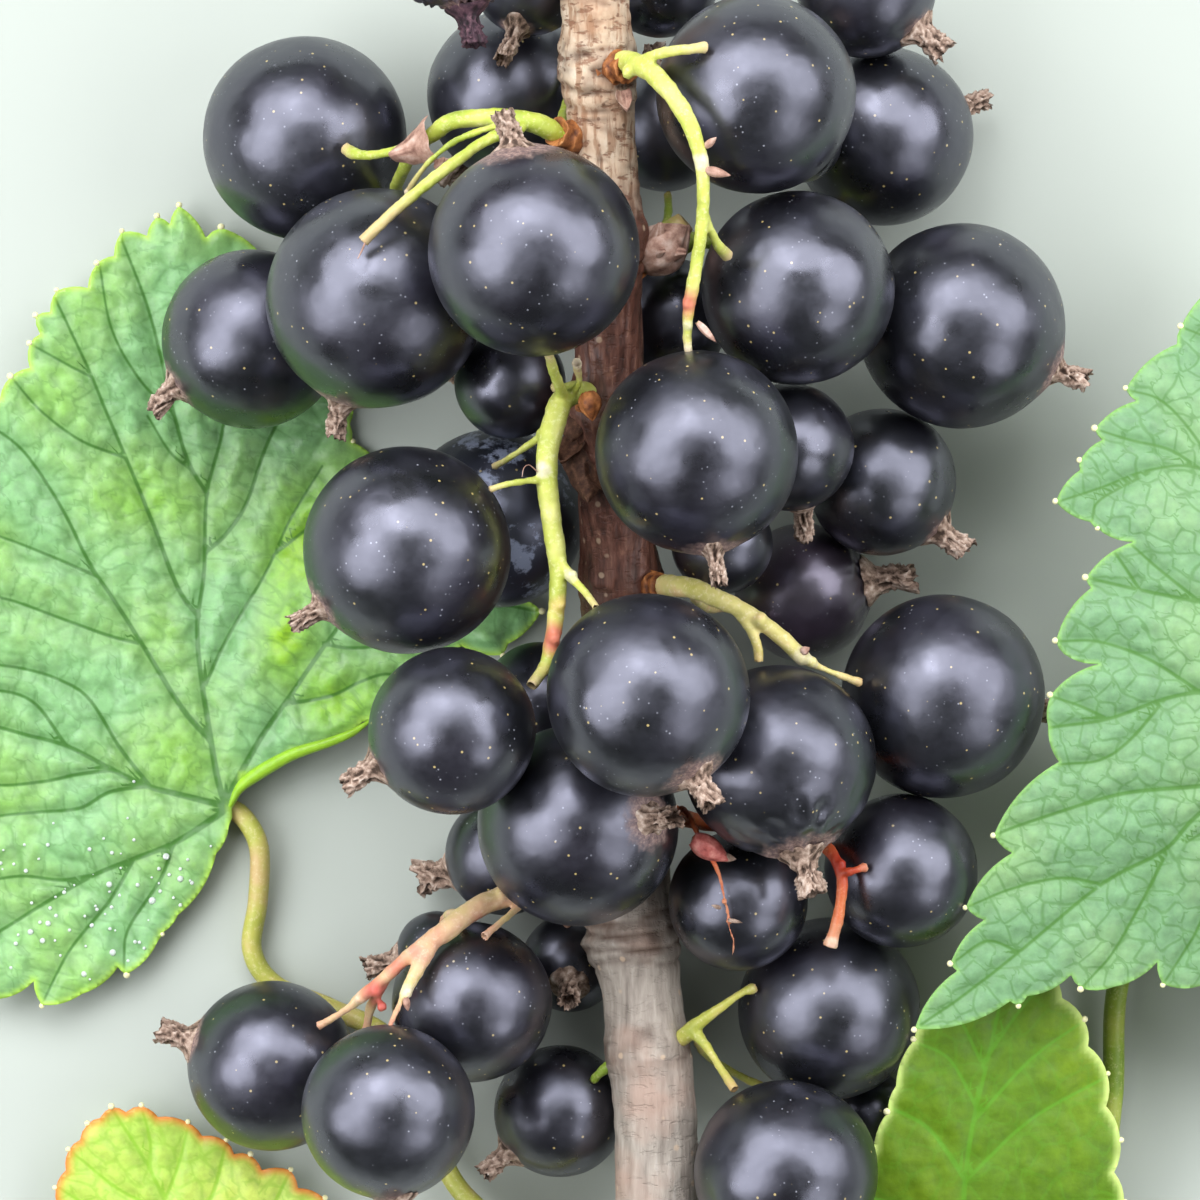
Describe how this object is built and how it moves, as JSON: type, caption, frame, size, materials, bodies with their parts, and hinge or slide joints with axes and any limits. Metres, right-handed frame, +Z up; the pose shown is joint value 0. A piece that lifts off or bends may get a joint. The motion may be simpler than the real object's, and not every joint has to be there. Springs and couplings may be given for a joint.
{
  "type": "blackcurrant sprig",
  "caption": "Cut sprig of blackcurrant lying on a table: a woody cane with trusses of ripe round berries on green stalks and palmate toothed leaves.",
  "frame": {"origin": "on the table, under the middle of the sprig's bounding box", "axes": "+Z up from the table, +Y along the cane towards its upper cut, +X to the side of the large right leaf"},
  "size_m": [0.1, 0.0981, 0.0304],
  "materials": {
    "berry_skin": "satin near-black skin with a thin waxy bloom",
    "green_stalk": "fresh yellow-green stalk, matt",
    "cane_bark": "dry ridged bark, matt",
    "leaf_blade": "matt quilted leaf with sunken veins",
    "young_leaf": "soft bright young leaf with a red rim"
  },
  "bodies": {
    "root": {"berry_left_back_1": "berry_skin", "berry_lower_back_1": "berry_skin", "berry_lower_left_1": "berry_skin", "berry_lower_left_2": "berry_skin", "berry_lower_left_3": "berry_skin", "berry_lower_left_4": "berry_skin", "berry_lower_left_5": "berry_skin", "berry_lower_left_6": "berry_skin", "berry_lower_left_7": "berry_skin", "berry_lower_middle_1": "berry_skin", "berry_lower_middle_2": "berry_skin", "berry_lower_right_1": "berry_skin", "berry_lower_right_2": "berry_skin", "berry_lower_right_3": "berry_skin", "berry_middle_left_1": "berry_skin", "berry_middle_left_2": "berry_skin", "berry_middle_left_3": "berry_skin", "berry_middle_left_4": "berry_skin", "berry_middle_left_5": "berry_skin", "berry_middle_left_6": "berry_skin", "berry_middle_right_1": "berry_skin", "berry_middle_right_2": "berry_skin", "berry_middle_right_3": "berry_skin", "berry_right_back_1": "berry_skin", "berry_right_back_2": "berry_skin", "berry_right_back_3": "berry_skin", "berry_right_back_4": "berry_skin", "berry_right_back_5": "berry_skin", "berry_right_middle_1": "berry_skin", "berry_right_middle_2": "berry_skin", "berry_right_middle_3": "berry_skin", "berry_top_left_1": "berry_skin", "berry_top_left_2": "berry_skin", "berry_top_right_1": "berry_skin", "berry_top_right_2": "berry_skin", "berry_upper_left_1": "berry_skin", "berry_upper_left_2": "berry_skin", "berry_upper_left_3": "berry_skin", "berry_upper_left_4": "berry_skin", "berry_upper_right_1": "berry_skin", "berry_upper_right_2": "berry_skin", "berry_upper_right_3": "berry_skin", "cane": "cane_bark", "leaf_left": "leaf_blade", "leaf_lower_right": "leaf_blade", "leaf_right": "leaf_blade", "leaf_young": "young_leaf", "strig_left_back": "green_stalk", "strig_lower_back": "green_stalk", "strig_lower_left": "green_stalk", "strig_lower_middle": "green_stalk", "strig_lower_right": "green_stalk", "strig_middle_left": "green_stalk", "strig_middle_right": "green_stalk", "strig_right_back": "green_stalk", "strig_right_middle": "green_stalk", "strig_top_left": "green_stalk", "strig_top_right": "green_stalk", "strig_upper_left": "green_stalk", "strig_upper_right": "green_stalk"}
  },
  "joints": []
}
